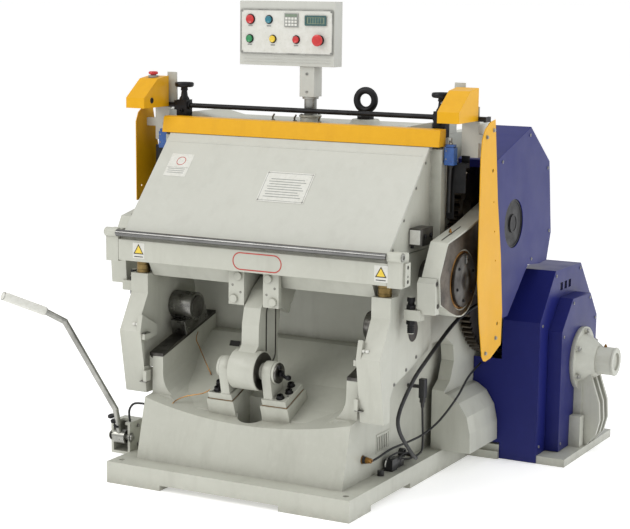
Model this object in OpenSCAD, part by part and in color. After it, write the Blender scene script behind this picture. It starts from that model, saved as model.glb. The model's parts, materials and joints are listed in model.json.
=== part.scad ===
// Platen die cutting and creasing press: a hinged platen is pulled against a
// fixed die bed by two connecting rods that a pair of crank gears drives.
// X runs along the platen, +X is the clutch side, -Y faces the operator, +Z is up.
// The origin is on the floor, at the centre of the four anchor holes.

/* [Base] */
// Half width of the base plinth
base_x = 485; // [480:1:487]
// Half depth of the base plinth
base_y = 500; // [495:1:505]
// Height of the base plinth
plinth_h = 78; // [70:1:82]
// Half width of the skirt above the plinth
skirt_x = 414; // [405:1:415]
// Radius of an anchor hole
anchor_r = 11; // [8:0.5:14]
// Slope of the rails, rising to the back
rail_tilt = 15.6; // [14:0.1:16]

/* [Platen] */
// Half length of the pressing plate
platen_x = 560; // [550:1:562]
// Height of the top edge of the pressing plate
platen_top = 1205; // [1195:1:1208]
// Thickness of the pressing plate
platen_t = 40; // [30:1:40]
// Half length of the front beam
beam_x = 534; // [528:1:536]
// Distance from the mid-plane to the outer face of a leg
leg_x = 520; // [510:1:524]

/* [Drive] */
// Teeth on a crank gear
crank_teeth = 58; // [58:1:58]
// Teeth on an idler pinion
idler_pinion_teeth = 18; // [18:1:18]
// Teeth on the idler gear
idler_teeth = 62; // [62:1:62]
// Teeth on the clutch shaft pinion
clutch_teeth = 31; // [31:1:31]
// Radius of the crank pins
crank_throw = 144.4; // [140:0.1:146]
// Outer radius of the flywheel
flywheel_r = 200; // [190:1:205]
// Radius of the motor pulley
pulley_r = 45; // [40:1:48]

/* [Controls] */
// Width of the control box
box_w = 389; // [380:1:395]
// Height of the control box
box_h = 230; // [225:1:235]
// Radius of a handwheel
handwheel_r = 36; // [34:1:37]

/* [Hidden] */
$fn = 48;
fit = 0.05;                      // running clearance of a shaft in its bore
platen_front = 15;               // front face of the pressing plate
platen_back = platen_front + platen_t;
bed_y = 85;                      // front face of the die bed
slipper_p = [-100, 590];         // platen tilt axis, as [y, z]
trunnion_p = [-10, 765];         // trunnion axis
crank_p = [375, 918];            // crank shaft axis
arm_p = [-322, 434];             // swing arm axis
crank_m = 9;                     // module of the crank gears
idler_m = 8;                     // module of the idler gear
idler_dir = -52;                 // direction from the crank shaft to the idler
clutch_dir = -51.73;
idler_p = crank_p + crank_m * (crank_teeth + idler_pinion_teeth) / 2 * [cos(idler_dir), sin(idler_dir)];
clutch_p = idler_p + idler_m * (idler_teeth + clutch_teeth) / 2 * [cos(clutch_dir), sin(clutch_dir)];
motor_p = [640, 160];
lever_p = [-345, 130];
rail_p = [-305, 447];            // top front edge of a rail
rail_in = 370;
rail_out = 428;
strip_t = 12;
gear_in = 546;                   // inner face of a crank gear
gear_out = 590;
rod_in = 595;                    // inner face of a connecting rod
rod_out = 659;
pole_p = [-13, 130];
wheel_p = [524, 86];              // handwheel axis, as [x, y]
rod_z0 = 1309;                   // height of the cross rod
shaft_r = 50;
bracket_tilt = 20;               // slope of the swing arm bracket plates

grey = [0.84, 0.85, 0.82];
steel = [0.6, 0.61, 0.62];
dark = [0.16, 0.16, 0.17];
blue = [0.13, 0.13, 0.45];
amber = [0.9, 0.62, 0.12];

// ---- helpers -------------------------------------------------------------
module yz(x0, x1) translate([x0, 0, 0]) rotate([90, 0, 90]) linear_extrude(x1 - x0) children();
module xz(y0, y1) translate([0, y1, 0]) rotate([90, 0, 0]) linear_extrude(y1 - y0) children();
module box(x, y, z) translate([x[0], y[0], z[0]]) cube([x[1] - x[0], y[1] - y[0], z[1] - z[0]]);
module both() { children(); mirror([1, 0, 0]) children(); }
module rod_x(x0, x1, p, r) translate([x0, p[0], p[1]]) rotate([0, 90, 0]) cylinder(h = x1 - x0, r = r);
module rod_y(y0, y1, p, r) translate([p[0], y0, p[1]]) rotate([-90, 0, 0]) cylinder(h = y1 - y0, r = r);
module rod_z(z0, z1, p, r) translate([p[0], p[1], z0]) cylinder(h = z1 - z0, r = r);
function polar(r, a) = [r * cos(a), r * sin(a)];
function rail_z(y) = rail_p[1] + (y - rail_p[0]) * tan(rail_tilt);

// Involute gear outline with a tooth centred on angle turn
inv20 = tan(20) * 180 / PI - 20;
backlash = 0.12;
function inv_deg(rb, r) = r <= rb ? 0 : let (a = acos(rb / r)) tan(a) * 180 / PI - a;
function flank(m, z) = let (rp = m * z / 2, rb = rp * cos(20), r0 = rp - 1.2 * m, r1 = max(rb, r0 + 1))
    [r0, r1, rp - 0.1 * m, rp + 0.45 * m, rp + 0.85 * m];
function tooth(m, z, turn) = let (rp = m * z / 2, rb = rp * cos(20), f = flank(m, z),
        half = 90 / z + inv20 - backlash * 90 / z * 10 / z)
    [for (r = f) polar(r, turn - half + inv_deg(rb, r)),
     for (i = [len(f) - 1:-1:0]) polar(f[i], turn + half - inv_deg(rb, f[i]))];
module gear_2d(m, z, turn)
    polygon([for (i = [0:z - 1]) each tooth(m, z, turn + i * 360 / z)]);

// Round cord: a tube swept along a smooth curve through the route's points
function spline(p, t) = let (n = len(p) - 1, i = min(n - 1, floor(t)), u = t - i,
        a = p[max(0, i - 1)], b = p[i], c = p[i + 1], d = p[min(n, i + 2)])
    0.5 * (2 * b + (c - a) * u + (2 * a - 5 * b + 4 * c - d) * u * u
        + (3 * b - 3 * c + d - a) * u * u * u);
function unit(v) = v / norm(v);
module tube(route, r, rings, sides = 8) {
    n = len(route) - 1;
    c = [for (i = [0:rings]) spline(route, n * i / rings)];
    t = [for (i = [0:rings]) unit(c[min(rings, i + 1)] - c[max(0, i - 1)])];
    points = [for (i = [0:rings]) let (u = unit(cross(t[i], [0.31, 0.27, 0.91])), v = cross(t[i], u))
        for (k = [0:sides - 1]) c[i] + r * (cos(360 * k / sides) * u + sin(360 * k / sides) * v)];
    faces = [[for (k = [0:sides - 1]) k],
        for (i = [0:rings - 1]) for (k = [0:sides - 1]) let (k1 = (k + 1) % sides)
            [i * sides + k, (i + 1) * sides + k, (i + 1) * sides + k1, i * sides + k1],
        [for (k = [sides - 1:-1:0]) rings * sides + k]];
    polyhedron(points, faces);
}

// ---- base ----------------------------------------------------------------
// Section of the hollow floor across the machine, in the plane square to the rails
cove_r = 90;
cove_x = rail_in - cove_r;
cove_z = -158;
floor_low = 20;
function dish(x) = cove_z + floor_low * (pow(x / cove_x, 2) - 1);
cove = [for (i = [0:6]) [cove_x + cove_r * sin(15 * i), cove_z + cove_r * (1 - cos(15 * i))]];
floor_line = concat([for (i = [6:-1:0]) [-cove[i][0], cove[i][1]]],
    [for (i = [-11:11]) [cove_x * i / 12, dish(cove_x * i / 12)]], cove);
lip_line = [for (i = [-12:12]) [(skirt_x + 2) * i / 12, dish((skirt_x + 2) * i / 12)]];
module hollow(line, x1) translate([0, rail_p[0], rail_p[1]]) rotate([rail_tilt, 0, 0]) xz(-220, 420)
    polygon(concat([[-x1, 260]], line, [[x1, 260]]));
module trough() {
    intersection() {
        hollow(floor_line, rail_in);
        yz(-rail_in - 1, rail_in + 1) polygon([[-470, 700], [-470, 210], [-250, 300],
            [-130, 360], [-40, 425], [30, 478], [64, 480], [64, 700]]);
    }
    intersection() {
        hollow(lip_line, skirt_x + 2);
        yz(-skirt_x - 3, skirt_x + 3) polygon([[-470, 700], [-470, 200], [-330, 200], [-316, 318],
            [-309, 350], [-306, 700]]);
    }
}
module pad() translate([0, -340, 317]) rotate([bracket_tilt, 0, 0]) box([54, 163], [-6, 136], [-70, 0]);
module base_casting() color(grey) difference() {
    union() {
        difference() {
            union() {
                box([-base_x, base_x], [-base_y, base_y], [0, plinth_h]);
                yz(-skirt_x, skirt_x) polygon([[-414, plinth_h - 1], [-357, 294], [-300, 300],
                    [62, 430], [62, plinth_h - 1]]);
                yz(-rail_out + 14, rail_out - 14) polygon([[-357, 290], [-309, 300], [-305, 434], [62, 535],
                    [62, 290]]);
                box([-skirt_x, skirt_x], [60, 470], [plinth_h - 1, 480]);
            }
            trough();
        }
        box([150, 604], [500, 1050], [0, 30]);
        box([604, 862], [519, 1050], [0, 30]);
        box([465, 603], [515, 600], [0, 54]);
        both() pad();
        both() yz(rail_in, rail_out) polygon([rail_p - [0, 52], rail_p - [0, strip_t],
            [60, rail_z(60) - strip_t], [60, rail_z(60) - 52]]);
    }
    rod_z(200, 330, [0, -296], 56);
    box([-56, 56], [-296, -225], [200, 400]);
    box([-380, 380], [-370, 30], [-1, 190]);
    box([-380, 380], [50, 440], [-1, 440]);
    box([-262, 215], [-base_y - 1, base_y + 1], [-1, 20]);
    box([-base_x - 1, base_x + 1], [-336, -21], [-1, 20]);
    both() for (y = [-base_y + 45, base_y - 45])
        rod_z(-1, plinth_h + 1, [base_x - 35, y], anchor_r);
    for (i = [0:5]) box([skirt_x - 8, skirt_x + 1], [-148 + 14 * i, -141 + 14 * i], [156, 206]);
}
module rail_strips() color(dark) both() yz(rail_in, rail_out) polygon([
    rail_p - [0, strip_t], rail_p, [60, rail_z(60)], [60, rail_z(60) - strip_t]]);

// ---- fixed structure -----------------------------------------------------
frame_outline = [[250, plinth_h], [250, 300], [300, 330], [330, 400], [320, 460], [250, 500],
    [125, 500], [125, 1240], [450, 1240], [560, 1040], [700, 760], [700, 500], [520, 420],
    [500, plinth_h]];
// Flared foot beside each frame
module frame_foot() xz(250, 512)
    polygon([[489, plinth_h], [489, 292], [508, 288], [548, 262], [580, 212], [594, 150], [596, plinth_h]]);
module frame_bores(x0, x1) {
    rod_x(x0, x1, crank_p, shaft_r + fit);
    rod_x(x0, x1, idler_p, 40 + fit);
}
module side_frame_left() color(grey) mirror([1, 0, 0]) difference() {
    union() {
        frame_foot();
        yz(440, 490) polygon(frame_outline);
        rod_x(489, 543, crank_p, 85);
        rod_x(489, 543, idler_p, 62);
    }
    frame_bores(430, 550);
}
module side_frame_right() color(grey) difference() {
    union() {
        frame_foot();
        yz(440, 490) polygon(frame_outline);
        yz(440, 490) polygon([[510, 300], [520, 440], [700, 560], [900, 440], [900, 290]]);
        rod_x(489, 543, crank_p, 85);
    }
    frame_bores(430, 550);
    rod_x(430, 500, clutch_p, 30 + fit);
}
module die_bed() color(grey) {
    box([-535, 535], [bed_y, 125], [640, 1240]);
    box([-15, 15], [125, 200], [660, 1240]);
    both() for (x = [150, 310]) box([x, x + 30], [125, 200], [660, 1240]);
    box([-440, 440], [125, 200], [640, 665]);
    box([-490, 490], [bed_y, 125], [481, 641]);
    box([-skirt_x, skirt_x], [bed_y, 125], [480, 500]);
}
module top_beam() color(grey) {
    difference() {
        union() {
            box([-490, 490], [bed_y, 300], [1240, 1268]);
            both() xz(bed_y, 300) polygon([[380, 1267], [470, 1287], [490, 1287], [490, 1267]]);
            rod_z(1267, 1285, pole_p, 37);
            translate([200, 150, 1267]) cylinder(h = 18, r1 = 58, r2 = 48);
        }
        rod_z(1245, 1286, pole_p, 23);
        rod_z(1255, 1286, [200, 150], 15);
    }
}
module lifting_eye() color(dark) {
    rod_z(1257, 1285.2, [200, 150], 14.8);
    rod_z(1285.2, 1296, [200, 150], 30);
    rod_z(1295, 1312, [200, 150], 17);
    translate([200, 150, 1352]) rotate([90, 0, 0])
        rotate_extrude() translate([35, 0]) circle(r = 12.5, $fn = 32);
}
module control_pole() color(steel) {
    rod_z(1246, 1350, pole_p, 22.9);
    rod_z(1350, 1357, pole_p, 30);
    rod_z(1357, 1440, pole_p, 18);
}
module cross_rod() color(dark) {
    rod_x(-690, 690, [wheel_p[1], rod_z0], 9);
    both() box([690, 699], [64, 108], [1300, 1318]);
}
module rod_clamps() color(dark) both() difference() {
    union() {
        box([502, 546], [66, 106], [1240, 1330]);
        rod_z(1329, 1364, wheel_p, 10);
        box([547, 560], [72, 100], [1292, 1326]);
        rod_x(545, 548, [wheel_p[1], rod_z0], 14);
    }
    rod_x(495, 565, [wheel_p[1], rod_z0], 9);
}

// ---- covers and guards ----------------------------------------------------
hood_outline = [[-92, 1303], [-92, 1341], [0, 1408], [62, 1416], [76, 1416], [76, 1303]];
module hood() difference() {
    yz(586, 666) polygon(hood_outline);
    yz(589, 663) polygon([[-89, 1302], [-89, 1339.5], [1, 1405], [62, 1413], [73, 1413], [73, 1302]]);
    rod_x(580, 590, [-40, 1330], 11);
}
module hood_left() color(amber) mirror([1, 0, 0]) difference() {
    hood();
    rod_z(1395, 1430, [625, 30], 11);
}
module hood_right() color(amber) hood();
module mount_plates() color(grey) both() difference() {
    union() {
        xz(97, 103) polygon([[597, 1175], [660, 1175], [660, 1350], [606, 1350], [606, 1430],
            [566, 1430], [563, 1326], [597, 1290]]);
        box([600, 656], [76, 98], [1326, 1345]);
        box([598, 660], [102, 197], [1175, 1290]);
        box([659, 699], [97, 120], [1225, 1255]);
    }
    box([604, 654], [106, 201], [1181, 1284]);
}
// Black sheets in front of the crank gears, and the dished caps of the gear covers
module gear_shields() color(dark) both() {
    box([562, 592], [57.5, 60.5], [963, 1158]);
    box([591, 633], [57.5, 60.5], [1054, 1158]);
    box([600, 630], [60, 97], [1140, 1156]);
    box([600, 630], [94, 97], [1140, 1180]);
    difference() {
        rod_x(683, 686.5, crank_p, 96);
        rod_x(684.5, 687, crank_p, 80);
    }
    rod_x(684, 687.5, crank_p, 34);
}
module side_guard_left() color(amber) yz(-702, -699) difference() {
    polygon([[24, 1245], [40, 1278], [76, 1300], [138, 1300], [176, 1150], [165, 946], [26, 946]]);
    translate([60, 1000]) circle(r = 4);
}
module side_guard_right() color(amber) yz(699, 702) difference() {
    polygon([[144, 1306], [100, 1300], [56, 1278], [32, 1240], [25, 1180], [25, 757], [50, 610],
        [82, 482], [100, 464], [116, 460], [162, 464], [254, 498], [258, 616], [230, 820],
        [186, 1020]]);
    for (p = [[135, 1130], [215, 580]]) translate(p) circle(r = 7);
    for (p = [[150, 1020], [165, 915], [180, 810]]) translate(p) circle(r = 3.5);
}
cover_outline = [[198, 1159], [518, 1256], [719, 1114], [759, 842], [722, 740], [650, 736],
    [528, 748], [340, 585], [250, 585], [198, 640]];
cover_inner = [[190, 1153], [518, 1252.5], [716, 1112], [755.5, 842], [718, 742], [700, 690],
    [340, 500], [190, 500]];
module gear_cover(x1) difference() {
    yz(542, x1) polygon(cover_outline);
    yz(500, x1 - 3.5) intersection() { polygon(cover_inner); translate([202, 480]) square([700, 800]); }
    box([545, x1 - 3.5], [190, 210], [600, 1132]);
    rod_x(x1 - 10, x1 + 1, crank_p, 88);
}
module gear_cover_left() color(blue) mirror([1, 0, 0]) gear_cover(690);
module gear_cover_right() color(blue) {
    gear_cover(690);
    box([690, 699], [190, 230], [700, 716]);
}
belt_outline = [[515, 2], [515, 535], [662, 710], [936, 706], [1058, 568], [1058, 30.5], [518.5, 30.5],
    [518.5, 2]];
belt_inner = [[518, 0], [518, 533.8], [663.5, 707], [934.6, 703], [1055, 566.8], [1055, 0]];
module belt_cover() color(blue) difference() {
    union() {
        yz(604, 752) polygon(belt_outline);
        xz(515, 518) polygon([[492, 62], [492, 385], [605, 385], [605, 62]]);
    }
    yz(603, 749) polygon(belt_inner);
    rod_x(745, 755, clutch_p, 60);
    for (i = [0:2]) box([745, 755], [716 + 44 * i, 742 + 44 * i], [628, 658]);
}
module clutch_cover() color(blue) difference() {
    yz(752, 806) polygon([[605, 32], [605, 492], [712, 602], [908, 597], [990, 500], [990, 32]]);
    yz(751, 803) polygon([[608, 31], [608, 490.8], [713.3, 599], [906.6, 594], [987, 499], [987, 31]]);
    rod_x(745, 810, clutch_p, 60);
}
module outer_bearing() color(grey) difference() {
    union() {
        rod_x(806, 822, clutch_p, 122);
        translate([822, clutch_p[0], clutch_p[1]]) rotate([0, 90, 0]) cylinder(h = 60, r1 = 100, r2 = 60);
        rod_x(881, 950, clutch_p, 53);
        box([806, 837], [clutch_p[0] - 60, clutch_p[0] + 60], [30, 300]);
        for (y = [-52, -7, 38]) xz(clutch_p[0] + y, clutch_p[0] + y + 14)
            polygon([[807, 30], [807, 315], [868, 308], [884, 262], [905, 200], [910, 130], [896, 74],
                [860, 30]]);
        box([806, 850], [clutch_p[0] - 100, clutch_p[0] - 59], [30, 150]);
        for (a = [0:60:300]) rod_x(822, 832, clutch_p + polar(108, a + 30), 9);
    }
    rod_x(800, 960, clutch_p, 30 + fit);
    rod_x(925, 960, clutch_p, 34);
}

// ---- motor and belts -------------------------------------------------------
module motor() color(blue) {
    rod_x(300, 560, motor_p, 110);
    rod_x(560, 580, motor_p, 70);
    rod_x(580, 700, motor_p, 14);
    for (x = [340, 420]) box([x, x + 40], [motor_p[0] - 100, motor_p[0] + 100], [30, 80]);
    box([340, 430], [motor_p[0] - 45, motor_p[0] + 45], [265, 286]);
}
module belt_loop(r) {
    hull() {
        translate(clutch_p) circle(r = flywheel_r + r, $fn = 64);
        translate(motor_p) circle(r = pulley_r + r, $fn = 48);
    }
}
module v_belts() color(dark) for (i = [0:2]) yz(649 + 18 * i, 659 + 18 * i) difference() {
    belt_loop(3);
    belt_loop(-5.5);
}

// ---- swing arm bearings and the lever box ----------------------------------
module swing_brackets() color(grey) both() difference() {
    union() {
        translate([0, -340, 317]) rotate([bracket_tilt, 0, 0]) box([60, 157], [0, 128], [0, 25]);
        yz(68, 104) polygon([[-340, 325], [-362, 420], arm_p - [40, 0], arm_p + [40, 0],
            [-272, 396], [-258, 352]]);
        rod_x(68, 104, arm_p, 40);
    }
    rod_x(60, 110, arm_p, 30 + fit);
}
module lever_box() color(grey) difference() {
    box([-566, -485], [-352, -262], [66, 186]);
    box([-556, -495], [-360, -275], [76, 176]);
    rod_x(-570, -480, lever_p, 12 + fit);
    box([-545, -505], [-355, -300], [170, 190]);
}

// ---- cords -----------------------------------------------------------------
main_route = [[686, 440, 700], [640, 430, 690], [590, 388, 630], [552, 320, 598], [540, 190, 560], [536, -20, 470], [534, -125, 415],
    [532, -225, 325], [530, -214, 255], [520, -90, 150], [505, -20, 115], [472, 20, 110], [414, 40, 110]];
thin_route = [[520, 514.5, 360], [530, 440, 354], [546, 330, 340], [551, 225, 290], [528, 130, 224],
    [478, 110, 172], [447, 50, 152], [436, -77, 152], [440, -190, 148], [442, -255, 150],
    [416, -262, 153]];
lever_route = [[-414.3, -338, 258], [-440, -341, 262], [-474, -343, 256], [-494, -341, 228],
    [-496, -334, 186.5]];
module main_cable() color(dark) tube(main_route, 7, 70);
module thin_cables() color(dark) {
    tube(thin_route, 4, 70);
    tube(lever_route, 4, 24);
}
module cable_fittings() color(dark) {
    difference() {
        rod_x(414, 428, [-262, 153], 13);
        rod_x(416, 430, [-262, 153], 7);
    }
    difference() {
        rod_x(414, 432, [40, 110], 16);
        rod_x(416, 433, [40, 110], 11);
    }
    box([424, 456], [-110, -70], [78, 120]);
    box([424, 450], [-64, -30], [78, 112]);
    rod_z(78, 96, [440, -170], 12);
}

// ---- platen ----------------------------------------------------------------
wedge = [[platen_front, 1199], [platen_front, 700], [-90, 690], [-250, 720], [-281, 775],
    [-281, 865], [-320, 865], [-8, 1199]];
module web(x0, x1) yz(x0, x1) polygon(wedge);
module platen_casting() color(grey) difference() {
    union() {
        box([-platen_x, platen_x], [platen_front, platen_back], [690, platen_top]);
        both() {
            web(428, 447);
            for (x = [60, 190, 310]) web(x, x + 20);
            yz(447, 520) polygon([[platen_front, 1199], [platen_front, 865], [-320, 865], [-8, 1199]]);
            yz(60, 428) polygon([[-281, 865], [-281, 775], [-250, 720], [-90, 690], [platen_front, 690],
                [platen_front, 702], [-88, 702], [-243, 731], [-269, 777], [-269, 865]]);
        }
    }
    both() rod_x(427, 680, trunnion_p, 60);
}
module front_cover() color(grey) yz(-525, 525)
    polygon([[15, 1199], [-8, 1199], [-320, 865], [-331, 865], [-331, 871], [-10, 1213], [15, 1213]]);
module beam() color(grey) {
    box([-beam_x, beam_x], [-345, -282], [780, 857]);
    box([-beam_x, beam_x], [-331, -282], [857, 865]);
}
module end_blocks() color(grey) both() {
    box([beam_x, 586], [-345, -290], [775, 868]);
    rod_x(beam_x, 586, [-340, 879], 17);
    box([beam_x, 586], [-340, -290], [860, 890]);
    difference() {
        box([586, 593], [-330, -290], [780, 858]);
        for (z = [795, 843]) rod_x(588, 594, [-310, z], 7);
    }
}
module chrome_bar() color([0.8, 0.81, 0.82]) rod_x(-beam_x, beam_x, [-352, 879], 12);
module leg() difference() {
    union() {
        yz(448, leg_x) polygon([[-284, 655], [-284, 728], [-225, 728], [-200, 760], [-200, 862],
            [10, 862], [14, 780], [14, 690], [40, 640], [50, 545], [30, 498], [-250, 420],
            [-275, 385], [-275, 300], [-321, 300], [-360, 527]]);
        yz(431, 449) polygon([[-360, 527], [-345, 590], [-250, 540], [-250, 500], [-335, 490],
            [-335, 398], [-312, 398], [-275, 385], [-275, 300], [-321, 300]]);
        box([418, 432], [-352, -312], [500, 520]);
        box([418, 432], [-344, -312], [345, 384]);
    }
    rod_x(400, 600, slipper_p, 40);
    rod_x(400, 600, trunnion_p, 60);
}
module leg_left() color(grey) mirror([1, 0, 0]) leg();
module leg_right() color(grey) leg();
module bumpers() color([0.62, 0.55, 0.38]) both() difference() {
    rod_z(728, 779.8, [484, -256], 24);
    rod_z(775, 780, [484, -256], 9);
}
module trunnions() color(dark) both() {
    rod_x(428, rod_out + 1, trunnion_p, 60);
    rod_x(rod_out + 1, rod_out + 9, trunnion_p, 92);
    rod_x(350, leg_x - 1, slipper_p, 40);
}
module cheek_plates() color(grey) both() difference() {
    union() {
        box([38, 100], [-300, -283], [655, 779]);
        yz(38, 54) polygon([[-284, 655], [-284, 779], [-90, 779], [-90, 690], [-140, 610], [-200, 640]]);
    }
    for (p = [[-205, 740], [-125, 640]]) rod_x(50, 56, p, 9);
}
module guide_blocks() color(dark) both() {
    box([521, 568], [-150, -60], [890, 950]);
}

// ---- moving pieces of the linkage -------------------------------------------
module slippers() color(dark) both() difference() {
    union() {
        rod_x(352, 446, slipper_p, 52);
        translate([0, slipper_p[0], slipper_p[1]]) rotate([rail_tilt, 0, 0])
            box([366, 428], [-78, 78], [-82.5, -30]);
    }
    rod_x(340, 460, slipper_p, 40 + fit);
}
rod_dir = 21.9;
module con_rod() {
    difference() {
        union() {
            rod_x(rod_in, rod_out, trunnion_p, 128);
            yz(rod_in, rod_out) polygon([[-205, 798], [-140, 909], [60, 945], [500, 1060],
                [560, 930], [120, 760], [-60, 660], [-190, 700]]);
            rod_x(rod_in, rod_out, crank_p + polar(crank_throw, rod_dir), 78);
            // stop bolt bracket on the nose
            yz(586, rod_out - 8) polygon([[-206, 796], [-190, 700], [-180, 672], [-214, 672], [-222, 780]]);
            box([540, 600], [-222, -186], [648, 684]);
        }
        rod_x(rod_in - 1, rod_out + 1, trunnion_p, 60 + fit);
        rod_x(rod_out - 3, rod_out + 1, trunnion_p, 104);
        rod_x(rod_in - 1, rod_in + 30, crank_p + polar(crank_throw, rod_dir), 55);
    }
    rod_z(600, 726, [558, -204], 11);
}
module con_rod_left() color(grey) mirror([1, 0, 0]) con_rod();
module con_rod_right() color(grey) con_rod();
arm_slot = [[-235, 625], [-235, 480]];
module swing_arm() color(grey) {
    difference() {
        union() {
            rod_x(-52, 52, arm_p, 70);
            yz(-34, 34) polygon([[-196, 742], [-250, 705], [-306, 650], [-320, 590], [-322, 520],
                [-380, 470], [-380, 400], [-300, 366], [-215, 410], [-184, 443], [-186, 545],
                [-170, 607], [-160, 690], [-172, 742]]);
        }
        for (p = arm_slot) rod_x(-35, 35, p, 29);
        box([-35, 35], [arm_slot[0][0] - 29, arm_slot[0][0] + 29], [arm_slot[1][1], arm_slot[0][1]]);
    }
    rod_x(-104.4, 104.4, arm_p, 30);
    both() rod_x(104.4, 114, arm_p, 38);
}
module crank_shaft() color(steel) {
    rod_x(-gear_out, gear_out, crank_p, shaft_r);
    both() difference() {
        union() {
            yz(gear_in, gear_out - 8) translate(crank_p) gear_2d(crank_m, crank_teeth, idler_dir);
            rod_x(gear_out - 9, gear_out, crank_p, 90);
            rod_x(gear_out - 9, gear_out + 3, crank_p + polar(crank_throw, rod_dir), 50);
        }
        for (a = [0:60:300]) rod_x(gear_in - 1, gear_out - 7, crank_p + polar(195, a - rod_dir), 38);
        rod_x(gear_in - 1, gear_out + 1, crank_p, shaft_r);
    }
}
module idler_shaft() color(steel) {
    turn = idler_dir + 180 + 180 / idler_pinion_teeth;
    rod_x(-gear_out, gear_out, idler_p, 40);
    both() difference() {
        yz(gear_in, gear_out - 8) translate(idler_p) gear_2d(crank_m, idler_pinion_teeth, turn);
        rod_x(gear_in - 1, gear_out, idler_p, 40);
    }
    difference() {
        yz(498, 538) translate(idler_p) gear_2d(idler_m, idler_teeth, clutch_dir);
        rod_x(490, 540, idler_p, 40);
    }
}
module clutch_shaft() color(steel) {
    turn = clutch_dir + 180 + 180 / clutch_teeth;
    rod_x(442, 924, clutch_p, 30);
    difference() {
        yz(498, 538) translate(clutch_p) gear_2d(idler_m, clutch_teeth, turn);
        rod_x(490, 540, clutch_p, 30);
    }
    difference() {
        rod_x(703, 738, clutch_p, 130);
        rod_x(700, 740, clutch_p, 30);
    }
}
module flywheel() color(dark) difference() {
    rod_x(640, 701, clutch_p, flywheel_r);
    for (i = [0:2]) difference() {
        rod_x(648 + 18 * i, 660 + 18 * i, clutch_p, flywheel_r + 1);
        rod_x(647 + 18 * i, 661 + 18 * i, clutch_p, flywheel_r - 7);
    }
    for (a = [0:60:300]) rod_x(639, 702, clutch_p + polar(115, a), 36);
    rod_x(639, 702, clutch_p, 30 + fit);
}
module motor_pulley() color(dark) difference() {
    rod_x(642, 699, motor_p, pulley_r);
    for (i = [0:2]) difference() {
        rod_x(648 + 18 * i, 660 + 18 * i, motor_p, pulley_r + 1);
        rod_x(647 + 18 * i, 661 + 18 * i, motor_p, pulley_r - 7);
    }
    rod_x(641, 702, motor_p, 14 + fit);
}
bar_outer = [[-12, 1214], [0, 1270], [8, 1273], [46, 1273], [46, 1214]];
bar_inner = [[-9, 1213], [2.5, 1268], [9, 1270], [43, 1270], [43, 1213]];
module safety_bar() color(amber) {
    difference() {
        yz(-platen_x, platen_x) polygon(bar_outer);
        yz(3 - platen_x, platen_x - 3) polygon(bar_inner);
    }
    rod_x(2 - platen_x, platen_x - 2, [36, 1220], 5);
}

// ---- controls --------------------------------------------------------------
module handwheel() {
    translate([wheel_p[0], wheel_p[1], 1384]) {
        rotate_extrude() translate([handwheel_r - 6, 0]) circle(r = 6, $fn = 32);
        for (a = [0:120:240]) rotate([0, 0, a]) translate([8, -5, -4]) cube([handwheel_r - 16, 10, 8]);
        difference() {
            translate([0, 0, -19.5]) cylinder(h = 33, r = 14);
            translate([0, 0, -21]) cylinder(h = 28, r = 10 + fit);
        }
    }
}
module handwheel_left() color(dark) mirror([1, 0, 0]) handwheel();
module handwheel_right() color(dark) handwheel();
box_x = -288;
box_z = 1467;
module control_box() color([0.75, 0.77, 0.74]) difference() {
    union() {
        box([box_x, box_x + box_w], [92, 152], [box_z, box_z + box_h]);
        box([box_x + 6, box_x + box_w - 6], [90, 92], [1509, 1667]);
        box([pole_p[0] - 30, pole_p[0] + 30], [pole_p[1] - 30, pole_p[1] + 30], [1358, box_z]);
        box([-100, -43], [86, 90], [1605, 1655]);
        box([-15, 70], [86, 90], [1613, 1647]);
    }
    rod_z(1350, 1446, pole_p, 18 + fit);
    for (p = button_places) rod_y(80, 112, [p[0], p[1]], p[2] - 4);
}
button_places = [[-241.5, 1631.5, 16], [-164.5, 1631, 13], [-244, 1561.5, 13], [-148, 1562, 12],
    [-52, 1561.5, 12.5], [42, 1561, 14]];
module button(p) {
    rod_y(80, 86, [p[0], p[1]], p[2]);
    rod_y(86, 104, [p[0], p[1]], p[2] - 4.3);
}
module button_start() color([0.8, 0.1, 0.1]) button(button_places[0]);
module button_jog() color([0.1, 0.5, 0.5]) button(button_places[1]);
module button_green() color([0.1, 0.6, 0.2]) button(button_places[2]);
module button_yellow() color([0.9, 0.8, 0.1]) button(button_places[3]);
module button_stop() color([0.8, 0.1, 0.1]) button(button_places[4]);
module panel_e_stop() color([0.8, 0.1, 0.1]) {
    p = button_places[5];
    rod_y(66, 76, [p[0], p[1]], 21);
    rod_y(76, 104, [p[0], p[1]], 9.7);
}
module hood_e_stop() color([0.8, 0.1, 0.1]) {
    rod_z(1400, 1424, [-625, 30], 10.7);
    rod_z(1424, 1434, [-625, 30], 18);
}
lever_route_p = [[-525, -358, 150], [-525, -384, 240], [-640, -526, 574], [-680, -586, 616],
    [-760, -722, 685]];
module bar_between(a, b, r) {
    d = b - a;
    translate(a) rotate([0, acos(d[2] / norm(d)), atan2(d[1], d[0])]) cylinder(h = norm(d), r = r);
}
module hand_lever() color(steel) {
    rod_x(-549, -501, lever_p, 26);
    rod_x(-565, -486, lever_p, 12);
    for (i = [0:2]) {
        bar_between(lever_route_p[i], lever_route_p[i + 1], 11);
        translate(lever_route_p[i + 1]) sphere(r = 11.4);
    }
    bar_between(lever_route_p[3], lever_route_p[4], 15);
}

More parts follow.
